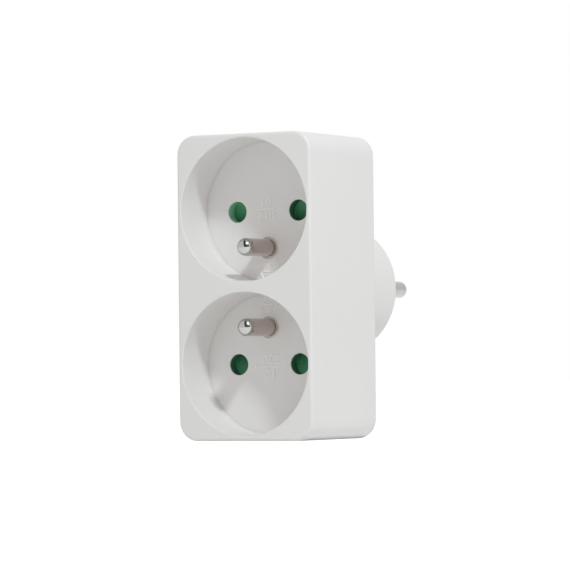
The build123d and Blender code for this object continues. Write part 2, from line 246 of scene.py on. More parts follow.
class FinishColours(bpy.types.PropertyGroup):
    """Colours of the plastics and metals."""

    white: bpy.props.FloatVectorProperty(
        name="White plastic",
        description="Housing and rear cover",
        default=(0.893, 0.869, 0.859, 1.0),
        size=4,
        subtype="COLOR",
    )
    # Painted light: the signs are a lighter white than the floor they stand on, against the shade on their sloped
    # sides
    mark: bpy.props.FloatVectorProperty(
        name="Lightened raised marks",
        description="Signs and numbers on the wells' floors",
        default=(0.975, 0.95, 0.94, 1.0),
        size=4,
        subtype="COLOR",
    )
    slider: bpy.props.FloatVectorProperty(
        name="Slider plastic",
        description="Shutters behind the contact holes",
        default=(0.17, 0.56, 0.315, 1.0),
        size=4,
        subtype="COLOR",
    )
    slider_frame: bpy.props.FloatVectorProperty(
        name="Frame plastic",
        description="Frames whose collars line the contact holes",
        default=(0.06, 0.21, 0.115, 1.0),
        size=4,
        subtype="COLOR",
    )
    # Painted light: a lighter green for the upper frame's left end, standing in for light falling on the collar of
    # the upper left contact hole
    painted_light_green: bpy.props.FloatVectorProperty(
        name="Frame plastic with painted light",
        description="Left end of the upper frame",
        default=(0.38, 0.76, 0.55, 1.0),
        size=4,
        subtype="COLOR",
    )
    inner: bpy.props.FloatVectorProperty(
        name="Inner plastic",
        description="Retainer plates inside the housing",
        default=(0.62, 0.61, 0.57, 1.0),
        size=4,
        subtype="COLOR",
    )
    # Painted reflection: the brown of the shafts stands in for the warm shaded wells they reflect
    earth_nickel: bpy.props.FloatVectorProperty(
        name="Brownish nickel",
        description="Earth pins in the wells",
        default=(0.575, 0.495, 0.457, 1.0),
        size=4,
        subtype="COLOR",
    )
    # Painted light: a much lighter nickel for the feet, standing in for light in the shaded recesses round them
    lightened_foot_nickel: bpy.props.FloatVectorProperty(
        name="Nickel lightened at the feet",
        description="Feet of the earth pins, in their recesses",
        default=(0.93, 0.84, 0.79, 1.0),
        size=4,
        subtype="COLOR",
    )
    # Painted reflection: the tips' neutral grey stands in for the white surroundings they reflect
    tip_nickel: bpy.props.FloatVectorProperty(
        name="Neutral tip nickel",
        description="Tips of the earth pins",
        default=(0.44, 0.44, 0.425, 1.0),
        size=4,
        subtype="COLOR",
    )
    plug_nickel: bpy.props.FloatVectorProperty(
        name="Nickel plate",
        description="Pins of the plug",
        default=(0.44, 0.43, 0.42, 1.0),
        size=4,
        subtype="COLOR",
    )
    brass: bpy.props.FloatVectorProperty(
        name="Brass sheet",
        description="Contact strips and earth pieces",
        default=(0.78, 0.56, 0.25, 1.0),
        size=4,
        subtype="COLOR",
    )
    spring_steel: bpy.props.FloatVectorProperty(
        name="Spring wire",
        description="Coil springs of the shutters",
        default=(0.5, 0.5, 0.51, 1.0),
        size=4,
        subtype="COLOR",
    )
    zinc: bpy.props.FloatVectorProperty(
        name="Zinc plate",
        description="Screws of the rear cover",
        default=(0.6, 0.61, 0.63, 1.0),
        size=4,
        subtype="COLOR",
    )


class StageSettings(bpy.types.PropertyGroup):
    """Camera, lamp, dark card, surroundings and floor."""

    camera_azimuth: bpy.props.FloatProperty(
        name="Camera azimuth",
        description="Turn of the camera from the front towards the right",
        default=math.radians(29.3318),
        subtype="ANGLE",
    )
    camera_elevation: bpy.props.FloatProperty(
        name="Camera elevation",
        description="Height of the camera as an angle",
        default=math.radians(-1.3511),
        subtype="ANGLE",
    )
    camera_roll: bpy.props.FloatProperty(
        name="Camera roll",
        description="Turn of the camera about its own line of sight",
        default=math.radians(-0.64),
        subtype="ANGLE",
    )
    camera_distance: bpy.props.FloatProperty(
        name="Camera distance",
        description="From the camera to the point it looks at",
        default=1.01019,
        unit="LENGTH",
    )
    camera_lens: bpy.props.FloatProperty(
        name="Camera lens",
        description="Focal length in millimetres on a 36 mm sensor",
        default=232.42,
    )
    aim_depth: bpy.props.FloatProperty(
        name="Aim depth",
        description="From the front face to the point the camera looks at",
        default=0.025,
        unit="LENGTH",
    )
    aim_offset: bpy.props.FloatVectorProperty(
        name="Aim offset",
        description="From the body's middle to that point, to the right and up",
        default=(-0.0013225, 0.0009281),
        size=2,
        unit="LENGTH",
    )
    lamp_direction: bpy.props.FloatVectorProperty(
        name="Lamp direction",
        description="From the object to the lamp",
        default=(0.545, -0.4535, 0.705),
        size=3,
        subtype="DIRECTION",
    )
    lamp_distance: bpy.props.FloatProperty(
        name="Lamp distance",
        description="From the object to the lamp",
        default=0.7125,
        unit="LENGTH",
    )
    lamp_diameter: bpy.props.FloatProperty(
        name="Lamp diameter",
        description="Width of the round lamp",
        default=0.07,
        unit="LENGTH",
    )
    lamp_power: bpy.props.FloatProperty(
        name="Lamp power",
        description="Power of the lamp",
        default=1.975,
        subtype="POWER",
    )
    lamp_colour: bpy.props.FloatVectorProperty(
        name="Lamp colour",
        description="Colour of the lamp",
        default=(0.894, 0.983, 1.0),
        size=3,
        subtype="COLOR",
    )
    card_distance: bpy.props.FloatProperty(
        name="Card distance",
        description="From the object to the dark card",
        default=0.6,
        unit="LENGTH",
    )
    card_colour: bpy.props.FloatVectorProperty(
        name="Card colour",
        description="Colour of the dark card",
        default=(0.02, 0.02, 0.02, 1.0),
        size=4,
        subtype="COLOR",
    )
    ambient: bpy.props.FloatProperty(
        name="Ambient light",
        description="Strength of the light from all sides",
        default=0.4935,
    )
    ambient_colour: bpy.props.FloatVectorProperty(
        name="Ambient colour",
        description="Colour of the light from all sides",
        default=(1.0, 0.992, 0.972, 1.0),
        size=4,
        subtype="COLOR",
    )
    floor_size: bpy.props.FloatProperty(
        name="Floor size",
        description="Side of the square floor",
        default=8.0,
        unit="LENGTH",
    )
    floor_colour: bpy.props.FloatVectorProperty(
        name="Floor colour",
        description="Colour of the floor",
        default=(0.85, 0.85, 0.85, 1.0),
        size=4,
        subtype="COLOR",
    )
    floor_glow: bpy.props.FloatProperty(
        name="Floor glow",
        description="White that the camera sees on the floor on top of its own shade",
        default=0.7,
    )
    floor_fill: bpy.props.FloatProperty(
        name="Floor fill",
        description="Light that the floor gives to the object on top of what it reflects",
        default=0.032,
    )


def set_inputs(tree, node, values):
    """Gives a node's inputs a value each, or a link where the value is another node's output."""
    for key, value in values.items():
        if isinstance(value, bpy.types.NodeSocket):
            tree.links.new(value, node.inputs[key])
        else:
            node.inputs[key].default_value = value
    return node


def add_node(tree, kind, values=None, **settings):
    """A new node with its settings and inputs."""
    node = tree.nodes.new(kind)
    for name, setting in settings.items():
        setattr(node, name, setting)
    return set_inputs(tree, node, values or {})


def calculate(tree, operation, *values):
    """The result of one Math node."""
    node = add_node(tree, "ShaderNodeMath", operation=operation)
    set_inputs(tree, node, dict(enumerate(values)))
    return node.outputs[0]


def spread(tree, value, low, high):
    """A value between 0 and 1 spread between two limits."""
    node = add_node(tree, "ShaderNodeMapRange", {"Value": value, "To Min": low, "To Max": high})
    return node.outputs["Result"]


def nearness(tree, distance, reach):
    """1 at no distance, 0 at a reach, and less than that beyond it."""
    return calculate(tree, "SUBTRACT", 1.0, calculate(tree, "DIVIDE", distance, reach))


def beyond(tree, value, offset):
    """How far a value is from zero, counted from an offset."""
    return calculate(tree, "SUBTRACT", calculate(tree, "ABSOLUTE", value), offset)


def vector_length(tree, **ways):
    """The length of a vector given by some of its coordinates."""
    vector = add_node(tree, "ShaderNodeCombineXYZ", ways).outputs[0]
    return add_node(tree, "ShaderNodeVectorMath", {0: vector}, operation="LENGTH").outputs["Value"]


def ways_from(tree, place, middle):
    """The three coordinates of a place, counted from a middle."""
    centred = add_node(tree, "ShaderNodeVectorMath", {0: place, 1: middle}, operation="SUBTRACT")
    return add_node(tree, "ShaderNodeSeparateXYZ", {0: centred.outputs[0]}).outputs


def place_on_piece(tree):
    """The piece's own coordinates."""
    return tree.nodes.new("ShaderNodeTexCoord").outputs["Object"]


def blend_colours(tree, share, first, second):
    """A mix of two colours, through the Mix node's sockets for colours."""
    node = add_node(tree, "ShaderNodeMix", data_type="RGBA")
    set_inputs(tree, node, {0: share, 6: first, 7: second})
    return node.outputs[2]


def shaded(colour, factor):
    """A colour made lighter or darker."""
    return tuple(channel * factor for channel in colour[:3]) + (1.0,)


def new_group(name, tree_type, inputs, outputs):
    """An empty node group with named sockets, with its input and output nodes."""
    group = bpy.data.node_groups.new(name, tree_type)
    for label, kind in inputs:
        group.interface.new_socket(label, in_out="INPUT", socket_type=kind)
    for label, kind in outputs:
        group.interface.new_socket(label, in_out="OUTPUT", socket_type=kind)
    return group, group.nodes.new("NodeGroupInput").outputs, group.nodes.new("NodeGroupOutput")


def moulded_skin_group():
    """Soft clouds of shade, uneven gloss and a fine grain, as on moulded plastic."""
    name = "Moulded Skin"
    if name in bpy.data.node_groups:
        return bpy.data.node_groups[name]
    inputs = [
        ("Vector", "NodeSocketVector"),
        ("Cloud Scale", "NodeSocketFloat"),
        ("Grain Scale", "NodeSocketFloat"),
    ]
    outputs = [(label, "NodeSocketFloat") for label in ("Shade", "Gloss", "Grain")]
    group, given, result = new_group(name, "ShaderNodeTree", inputs, outputs)

    def noise(scale, detail):
        values = {"Vector": given["Vector"], "Scale": scale, "Detail": detail}
        return add_node(group, "ShaderNodeTexNoise", values).outputs[0]

    patches_per_cloud = 9.0
    patch_scale = calculate(group, "MULTIPLY", given["Cloud Scale"], patches_per_cloud)
    parts = {
        "Shade": noise(given["Cloud Scale"], detail=3.0),
        "Gloss": noise(patch_scale, detail=4.0),
        "Grain": noise(given["Grain Scale"], detail=2.0),
    }
    set_inputs(group, result, parts)
    return group


def dust_specks_group():
    """A few tiny specks, one at most in each cell."""
    name = "Dust Specks"
    if name in bpy.data.node_groups:
        return bpy.data.node_groups[name]
    inputs = [
        ("Vector", "NodeSocketVector"),
        ("Cell Scale", "NodeSocketFloat"),
        ("Speck Size", "NodeSocketFloat"),
        ("Share", "NodeSocketFloat"),
    ]
    outputs = [("Mask", "NodeSocketFloat")]
    group, given, result = new_group(name, "ShaderNodeTree", inputs, outputs)
    grid = {"Vector": given["Vector"], "Scale": given["Cell Scale"]}
    cells = add_node(group, "ShaderNodeTexVoronoi", grid)
    chance = add_node(group, "ShaderNodeSeparateColor", {"Color": cells.outputs["Color"]})
    chosen = calculate(group, "LESS_THAN", chance.outputs["Red"], given["Share"])
    width = calculate(group, "MULTIPLY", given["Speck Size"], chance.outputs["Green"])
    edge_steepness = 2.0
    near = nearness(group, cells.outputs["Distance"], width)
    soft = calculate(group, "MULTIPLY", near, edge_steepness)
    held = add_node(group, "ShaderNodeClamp", {"Value": soft})
    set_inputs(group, result, {"Mask": calculate(group, "MULTIPLY", held.outputs[0], chosen)})
    return group


def tool_lines_group():
    """Fine parallel lines left by a tool, at a pitch along a given distance."""
    name = "Tool Lines"
    if name in bpy.data.node_groups:
        return bpy.data.node_groups[name]
    inputs = [("Distance", "NodeSocketFloat"), ("Pitch", "NodeSocketFloat")]
    outputs = [("Height", "NodeSocketFloat"), ("Gloss", "NodeSocketFloat")]
    group, given, result = new_group(name, "ShaderNodeTree", inputs, outputs)
    steps = calculate(group, "DIVIDE", given["Distance"], given["Pitch"])

    def noise(scale, detail):
        values = {"W": steps, "Scale": scale, "Detail": detail}
        return add_node(group, "ShaderNodeTexNoise", values, noise_dimensions="1D").outputs[0]

    bands_per_line = 0.12
    parts = {"Height": noise(1.0, detail=3.0), "Gloss": noise(bands_per_line, detail=2.0)}
    set_inputs(group, result, parts)
    return group


def corner_shade_group():
    """Painted shade where a round wall meets its floor, on both sides of a middle."""
    name = "Corner Shade"
    if name in bpy.data.node_groups:
        return bpy.data.node_groups[name]
    inputs = [
        ("Vector", "NodeSocketVector"),
        ("Middle", "NodeSocketVector"),
        ("Offset", "NodeSocketFloat"),
        ("Radius", "NodeSocketFloat"),
        ("Reach", "NodeSocketFloat"),
    ]
    outputs = [("Mask", "NodeSocketFloat")]
    group, given, result = new_group(name, "ShaderNodeTree", inputs, outputs)
    ways = ways_from(group, given["Vector"], given["Middle"])
    upwards = beyond(group, ways["Z"], given["Offset"])
    radius = vector_length(group, X=ways["X"], Z=upwards)
    outwards = calculate(group, "SUBTRACT", radius, given["Radius"])
    distance = vector_length(group, X=outwards, Y=ways["Y"])
    near = nearness(group, distance, given["Reach"])
    held = add_node(group, "ShaderNodeClamp", {"Value": near})
    falloff = 1.5
    set_inputs(group, result, {"Mask": calculate(group, "POWER", held.outputs[0], falloff)})
    return group


def use_group(tree, group, values):
    """A group placed in a material with its own values."""
    node = tree.nodes.new("ShaderNodeGroup")
    node.node_tree = group
    return set_inputs(tree, node, values).outputs


def start_material(name):
    """A new material with its tree, its shader and the coordinates of the piece."""
    material = bpy.data.materials.new(name)
    material.use_nodes = True
    tree = material.node_tree
    return material, tree, tree.nodes["Principled BSDF"], place_on_piece(tree)


def raise_surface(tree, shader, height, distance, strength):
    """Feeds a height to the shader's normal through a Bump node."""
    values = {"Height": height, "Distance": distance, "Strength": strength}
    bump = add_node(tree, "ShaderNodeBump", values)
    set_inputs(tree, shader, {"Normal": bump.outputs[0]})


def uneven_gloss(tree, shader, pattern, roughness, variation):
    """Varies the shader's roughness to both sides of a value."""
    gloss = spread(tree, pattern, roughness - variation, roughness + variation)
    set_inputs(tree, shader, {"Roughness": gloss})


def moulded_plastic(name, colour, roughness, specular, speck_share):
    """Moulded plastic: faint clouds, uneven gloss, fine grain and a few specks."""
    material, tree, shader, place = start_material(name)
    skin = use_group(
        tree,
        moulded_skin_group(),
        {"Vector": place, "Cloud Scale": 45.0, "Grain Scale": 5200.0},
    )
    specks = use_group(
        tree,
        dust_specks_group(),
        {"Vector": place, "Cell Scale": 160.0, "Speck Size": 0.04, "Share": speck_share},
    )
    dark, light, speck = (shaded(colour, factor) for factor in (0.975, 1.02, 0.45))
    clouded = blend_colours(tree, skin["Shade"], dark, light)
    dusty = blend_colours(tree, specks["Mask"], clouded, speck)
    set_inputs(tree, shader, {"Base Color": dusty, "Specular IOR Level": specular})
    uneven_gloss(tree, shader, skin["Gloss"], roughness, variation=0.07)
    raise_surface(tree, shader, skin["Grain"], distance=0.00002, strength=0.25)
    return material


def tint(tree, share, colour):
    """Blends a finish's colour into another by a share."""
    shader = tree.nodes["Principled BSDF"]
    before = shader.inputs["Base Color"].links[0].from_socket
    set_inputs(tree, shader, {"Base Color": blend_colours(tree, share, before, colour)})


def shade_well_corners(material, sizes):
    """Paints shade on a plastic where the wells' walls meet their floors."""
    tree = material.node_tree
    upper, lower = (well_plane(level).translation for level in LEVELS)
    values = {
        "Vector": place_on_piece(tree),
        "Middle": (upper + lower) / 2,
        "Offset": (upper - lower).length / 2,
        "Radius": sizes.well_radius,
        "Reach": sizes.corner_reach,
    }
    # Painted shade: black is blended in near each corner, where the wall keeps light off the floor
    mask = use_group(tree, corner_shade_group(), values)["Mask"]
    share = calculate(tree, "MULTIPLY", mask, sizes.corner_shade)
    tint(tree, share, BLACK)


def recolour(material, way, start, end, colour):
    """Blends a finish into another colour along one axis of the piece, between two places."""
    tree = material.node_tree
    along = add_node(tree, "ShaderNodeSeparateXYZ", {0: place_on_piece(tree)}).outputs[way]
    limits = {"Value": along, "From Min": start, "From Max": end}
    tint(tree, add_node(tree, "ShaderNodeMapRange", limits).outputs["Result"], colour)


def turned_metal(name, colour, middle, offset, roughness, pitch):
    """Plated metal turned about axes along Y: rings and faint tarnish.

    The axes lie at an offset from a middle, to both sides of it.
    """
    material, tree, shader, place = start_material(name)
    ways = ways_from(tree, place, middle)
    sideways = beyond(tree, ways["X"], offset.x)
    upwards = beyond(tree, ways["Z"], offset.z)
    radius = vector_length(tree, X=sideways, Z=upwards)
    distance = calculate(tree, "ADD", radius, ways["Y"])
    lines = use_group(tree, tool_lines_group(), {"Distance": distance, "Pitch": pitch})
    skin = use_group(
        tree,
        moulded_skin_group(),
        {"Vector": place, "Cloud Scale": 260.0, "Grain Scale": 9000.0},
    )
    dark, light = (shaded(colour, factor) for factor in (0.9, 1.06))
    tarnish = blend_colours(tree, skin["Shade"], dark, light)
    set_inputs(tree, shader, {"Base Color": tarnish, "Metallic": 1.0})
    uneven_gloss(tree, shader, lines["Gloss"], roughness, variation=0.06)
    raise_surface(tree, shader, lines["Height"], distance=0.000004, strength=0.5)
    return material


def rolled_sheet(name, colour, roughness):
    """Rolled sheet metal: fine lines along its length and faint stains."""
    material, tree, shader, place = start_material(name)
    ways = add_node(tree, "ShaderNodeSeparateXYZ", {0: place}).outputs
    lines = use_group(tree, tool_lines_group(), {"Distance": ways["X"], "Pitch": 0.00012})
    skin = use_group(
        tree,
        moulded_skin_group(),
        {"Vector": place, "Cloud Scale": 180.0, "Grain Scale": 7000.0},
    )
    dark, light = (shaded(colour, factor) for factor in (0.82, 1.05))
    stained = blend_colours(tree, skin["Shade"], dark, light)
    set_inputs(tree, shader, {"Base Color": stained, "Metallic": 1.0})
    uneven_gloss(tree, shader, lines["Gloss"], roughness, variation=0.08)
    raise_surface(tree, shader, lines["Height"], distance=0.000005, strength=0.5)
    return material


def dress(node_names, material):
    """Gives CAD nodes a finish."""
    for name in node_names:
        for slot in frame["nodes"][name].material_slots:
            slot.material = material


def box_middle(low, high):
    """The middle of a box given by two corners."""
    return (Vector(low) + Vector(high)) / 2


def corner_offset(node, middle):
    """From a middle to the piece that a node has in the corner to the right and above it."""
    points = [vertex.co for vertex in node.data.vertices]
    corner = [point for point in points if point.x > middle.x and point.z > middle.z]
    low = [min(point[axis] for point in corner) for axis in range(3)]
    high = [max(point[axis] for point in corner) for axis in range(3)]
    return box_middle(low, high) - middle


def opening_middle(name):
    """The middle of one of the record's openings."""
    for opening in frame["record"]["physics"]["openings"]:
        if opening["name"] == name:
            return box_middle(*opening["box_m"])
    raise RuntimeError("the record has no opening named " + name)


def well_floor(level):
    """The depth of a well's floor, where its earth pin starts."""
    for mount in frame["record"]["mounts"]:
        if mount["name"] == level + "_earth_pin_end":
            return mount["pos_m"][1] + mount["dims"]["length_mm"] * MILLIMETRE / 2
    raise RuntimeError("the record has no earth pin mount for the " + level + " well")


def well_plane(level):
    """From a drawing's X and Y to a well's floor, its centre between the contact holes."""
    left = opening_middle(level + "_left_contact_hole")
    right = opening_middle(level + "_right_contact_hole")
    centre = (left + right) / 2
    turn = 1 if level == "upper" else -1
    columns = (Vector((turn, 0, 0)), Vector((0, 0, turn)), Vector((0, -1, 0)))
    plane = Matrix(columns).transposed().to_4x4()
    plane.translation = (centre.x, well_floor(level), centre.z)
    return plane


def sign_tree():
    """Node tree that draws the earth sign, the dividing line and the wave as raised lines."""
    name = "Well Signs"
    if name in bpy.data.node_groups:
        return bpy.data.node_groups[name]
    lengths = (
        "Line Width",
        "Relief",
        "Ring Radius",
        "Sign Offset",
        "Longest Bar",
        "Bar Spacing",
        "Divider Length",
        "Divider X",
        "Divider Y",
        "Wave Length",
        "Wave Height",
        "Wave Gap",
    )
    inputs = [("Geometry", "NodeSocketGeometry")]
    inputs += [(label, "NodeSocketFloat") for label in lengths]
    inputs += [("Bar Count", "NodeSocketInt"), ("Material", "NodeSocketMaterial")]
    outputs = [("Geometry", "NodeSocketGeometry")]
    group, given, result = new_group(name, "GeometryNodeTree", inputs, outputs)

    def vector(x=0.0, y=0.0, z=0.0):
        return add_node(group, "ShaderNodeCombineXYZ", {"X": x, "Y": y, "Z": z}).outputs[0]

    def moved(geometry, x, y):
        values = {"Geometry": geometry, "Translation": vector(x, y)}
        return add_node(group, "GeometryNodeTransform", values).outputs[0]

    def line(start, end):
        ends = {"Start": start, "End": end}
        return add_node(group, "GeometryNodeCurvePrimitiveLine", ends).outputs[0]

    def level_line(length):
        half = calculate(group, "DIVIDE", length, 2.0)
        return line(vector(calculate(group, "MULTIPLY", half, -1.0)), vector(half))

    def circle(resolution, radius):
        values = {"Resolution": resolution, "Radius": radius}
        return add_node(group, "GeometryNodeCurvePrimitiveCircle", values).outputs[0]

    def joined(*pieces):
        node = add_node(group, "GeometryNodeJoinGeometry")
        for piece in pieces:
            group.links.new(piece, node.inputs[0])
        return node.outputs[0]

    ring = circle(48, given["Ring Radius"])

    count = given["Bar Count"]
    step_down = vector(0.0, calculate(group, "MULTIPLY", given["Bar Spacing"], -1.0))
    rows = add_node(group, "GeometryNodeMeshLine", {"Count": count, "Offset": step_down})
    index = group.nodes.new("GeometryNodeInputIndex").outputs[0]
    left_over = calculate(group, "SUBTRACT", 1.0, calculate(group, "DIVIDE", index, count))
    longest = level_line(given["Longest Bar"])
    bars = add_node(
        group,
        "GeometryNodeInstanceOnPoints",
        {"Points": rows.outputs[0], "Instance": longest, "Scale": vector(left_over, 1.0, 1.0)},
    )
    real_bars = add_node(group, "GeometryNodeRealizeInstances", {"Geometry": bars.outputs[0]})
    stem = line(vector(0.0, given["Ring Radius"]), vector())
    sign_down = calculate(group, "MULTIPLY", given["Sign Offset"], -1.0)
    earth_sign = moved(joined(ring, real_bars.outputs[0], stem), 0.0, sign_down)

    divider = moved(level_line(given["Divider Length"]), given["Divider X"], given["Divider Y"])

    wave_line = add_node(
        group,
        "GeometryNodeResampleCurve",
        {"Curve": level_line(given["Wave Length"]), "Count": 24},
    )
    position = group.nodes.new("GeometryNodeInputPosition").outputs[0]
    along = add_node(group, "ShaderNodeSeparateXYZ", {0: position})
    turns = calculate(group, "DIVIDE", along.outputs["X"], given["Wave Length"])
    rise = calculate(group, "SINE", calculate(group, "MULTIPLY", turns, math.tau))
    lift = calculate(group, "MULTIPLY", rise, given["Wave Height"])
    bent = add_node(
        group,
        "GeometryNodeSetPosition",
        {"Geometry": wave_line.outputs[0], "Offset": vector(0.0, lift)},
    )
    lengths_sum = calculate(group, "ADD", given["Divider Length"], given["Wave Length"])
    half_lengths = calculate(group, "DIVIDE", lengths_sum, 2.0)
    beside = calculate(group, "ADD", half_lengths, given["Wave Gap"])
    wave_x = calculate(group, "ADD", beside, given["Divider X"])
    wave = moved(bent.outputs[0], wave_x, given["Divider Y"])

    lines = joined(earth_sign, divider, wave)
    upright = add_node(group, "GeometryNodeSetCurveNormal", {"Curve": lines}, mode="Z_UP")
    half_width = calculate(group, "DIVIDE", given["Line Width"], 2.0)
    profile = add_node(
        group,
        "GeometryNodeTransform",
        {"Geometry": circle(12, 1.0), "Scale": vector(half_width, given["Relief"], 1.0)},
    )
    solid = add_node(
        group,
        "GeometryNodeCurveToMesh",
        {"Curve": upright.outputs[0], "Profile Curve": profile.outputs[0], "Fill Caps": True},
    )
    real = add_node(group, "GeometryNodeRealizeInstances", {"Geometry": solid.outputs[0]})
    finished = add_node(
        group,
        "GeometryNodeSetMaterial",
        {"Geometry": real.outputs[0], "Material": given["Material"]},
    )
    set_inputs(group, result, {"Geometry": finished.outputs[0]})
    return group


def link_object(name, data):
    """A new object in the scene."""
    made = bpy.data.objects.new(name, data)
    bpy.context.scene.collection.objects.link(made)
    return made


def plain_mesh(source):
    """The finished mesh of an object, without its modifiers."""
    bpy.context.view_layer.update()
    depsgraph = bpy.context.evaluated_depsgraph_get()
    return bpy.data.meshes.new_from_object(source.evaluated_get(depsgraph), depsgraph=depsgraph)


def merged_copy(node):
    """A node's mesh with its loose triangles joined and smoothed."""
    joined = bmesh.new()
    joined.from_mesh(node.data)
    bmesh.ops.remove_doubles(joined, verts=joined.verts, dist=MERGE_DISTANCE)
    for face in joined.faces:
        face.smooth = True
    mesh = bpy.data.meshes.new(node.name + "_coil")
    joined.to_mesh(mesh)
    joined.free()
    normals = mesh.attributes.get("custom_normal")
    if normals:
        mesh.attributes.remove(normals)
    mesh.set_sharp_from_angle(angle=SHARP_ANGLE)
    return mesh


def sign_mesh(sizes, material):
    """The raised lines of one well, drawn flat."""
    tree = sign_tree()
    holder = link_object("sign_drawing", bpy.data.meshes.new("sign_drawing"))
    modifier = holder.modifiers.new("Well Signs", "NODES")
    modifier.node_group = tree
    values = {
        "Line Width": sizes.line_width,
        "Relief": sizes.relief,
        "Ring Radius": sizes.ring_radius,
        "Sign Offset": sizes.sign_offset,
        "Longest Bar": sizes.longest_bar,
        "Bar Spacing": sizes.bar_spacing,
        "Divider Length": sizes.divider_length,
        "Divider X": sizes.divider_offset[0],
        "Divider Y": sizes.divider_offset[1],
        "Wave Length": sizes.wave_length,
        "Wave Height": sizes.wave_height,
        "Wave Gap": sizes.wave_gap,
        "Bar Count": sizes.bar_count,
        "Material": material,
    }
    for item in tree.interface.items_tree:
        if item.name in values:
            modifier[item.identifier] = values[item.name]
    mesh = plain_mesh(holder)
    bpy.data.objects.remove(holder)
    return mesh


def number_mesh(text, sizes, base_line):
    """One number as raised figures, drawn flat and standing on a base line."""
    bevel = sizes.relief * FIGURE_BEVEL
    letters = bpy.data.curves.new("figures", "FONT")
    letters.body = text
    letters.align_x = "CENTER"
    letters.size = sizes.number_height / FIGURE_HEIGHT
    letters.extrude = sizes.relief - bevel
    letters.bevel_depth = bevel
    letters.bevel_resolution = 1
    letters.offset = -bevel / 2
    holder = link_object("figures", letters)
    mesh = plain_mesh(holder)
    bpy.data.objects.remove(holder)
    mesh.transform(Matrix.Translation((sizes.divider_offset[0], base_line, 0)))
    return mesh


def join_meshes(name, meshes):
    """One mesh made of several."""
    joined = bmesh.new()
    for mesh in meshes:
        joined.from_mesh(mesh)
    bmesh.ops.recalc_face_normals(joined, faces=joined.faces)
    result = bpy.data.meshes.new(name)
    joined.to_mesh(result)
    joined.free()
    return result


class ADAPTER_OT_housing(bpy.types.Operator):
    """Gives the housing and the rear cover their satin white plastic"""

    bl_idname = "adapter.housing"
    bl_label = "White housing"

    def execute(self, context):
        colours = context.scene.adapter_colours
        plastic = moulded_plastic("white_plastic", colours.white, **SATIN)
        shade_well_corners(plastic, context.scene.adapter_marks)
        dress(WHITE_NODES, plastic)
        return {"FINISHED"}


class ADAPTER_OT_shutters(bpy.types.Operator):
    """Gives the shutters, their frames and retainers their plastics"""

    bl_idname = "adapter.shutters"
    bl_label = "Shutters and frames"

    def execute(self, context):
        colours = context.scene.adapter_colours
        dress(SLIDERS, moulded_plastic("slider_plastic", colours.slider, **SLIDER_FINISH))
        for node in SLIDER_FRAMES:
            green = moulded_plastic(node + "_plastic", colours.slider_frame, **FRAME_FINISH)
            dress([node], green)
        # Painted light: the upper frame's green is lightened at its left end, standing in for light falling on the
        # collar of the upper left contact hole
        frame_with_painted_light = bpy.data.materials["upper_shutter_frame_plastic"]
        middle = opening_middle("upper_left_contact_hole").x
        recolour(frame_with_painted_light, "X", middle + PAINTED_LIGHT_REACH, middle, colours.painted_light_green)
        inner = moulded_plastic("inner_plastic", colours.inner, **INNER_FINISH)
        dress(INNER_PLASTIC_NODES, inner)
        return {"FINISHED"}


class ADAPTER_OT_pins(bpy.types.Operator):
    """Gives each plated pin its turned nickel finish, centred on its own axis"""

    bl_idname = "adapter.pins"
    bl_label = "Plated pins"

    def execute(self, context):
        colours = context.scene.adapter_colours
        plating = {node: colours.earth_nickel for node in EARTH_PINS}
        plating.update({node: colours.plug_nickel for node in PLUG_PINS})
        for node, colour in plating.items():
            middle = box_middle(*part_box(node))
            name = node + "_nickel"
            nickel = turned_metal(name, colour, middle, Vector(), roughness=0.15, pitch=0.00018)
            dress([node], nickel)
        for level, node in zip(LEVELS, EARTH_PINS):
            nickel = bpy.data.materials[node + "_nickel"]
            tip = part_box(node)[0][1]
            floor = well_floor(level)
            # Painted reflection: the tip turns neutral grey and the shaft stays brown, for what each reflects
            recolour(nickel, "Y", *(tip + step for step in TIP_CHANGE), colours.tip_nickel)
            # Painted light: the foot in its recess is lightened against the shade there
            recolour(nickel, "Y", *(floor + step for step in FOOT_LIGHTENING), colours.lightened_foot_nickel)
        return {"FINISHED"}


class ADAPTER_OT_inner_metal(bpy.types.Operator):
    """Gives the brass strips and the screws their metals"""

    bl_idname = "adapter.inner_metal"
    bl_label = "Strips and screws"

    def execute(self, context):
        colours = context.scene.adapter_colours
        dress(BRASS_NODES, rolled_sheet("brass_sheet", colours.brass, roughness=0.32))
        middle = box_middle(*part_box(SCREWS))
        offset = corner_offset(frame["nodes"][SCREWS], middle)
        zinc = turned_metal("zinc_plate", colours.zinc, middle, offset, roughness=0.3, pitch=0.0002)
        dress([SCREWS], zinc)
        return {"FINISHED"}


class ADAPTER_OT_springs(bpy.types.Operator):
    """Makes coils that shorten towards their seats as the shutters slide"""
    # Replaces the shutters' springs with smoothed copies of their coils, fixed to the housing

    bl_idname = "adapter.springs"
    bl_label = "Shutter springs"

    def execute(self, context):
        colours = context.scene.adapter_colours
        wire = rolled_sheet("spring_wire", colours.spring_steel, roughness=0.3)
        for joint in frame["joints"]:
            spring = joint["deforming_nodes"][0]
            node = spring["node"]
            mesh = merged_copy(frame["nodes"][node])
            mesh.materials.clear()
            mesh.materials.append(wire)
            coil = link_object(node + "_coil", mesh)
            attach(coil, HOUSING)
            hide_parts(node)
            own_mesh(coil)
        return {"FINISHED"}


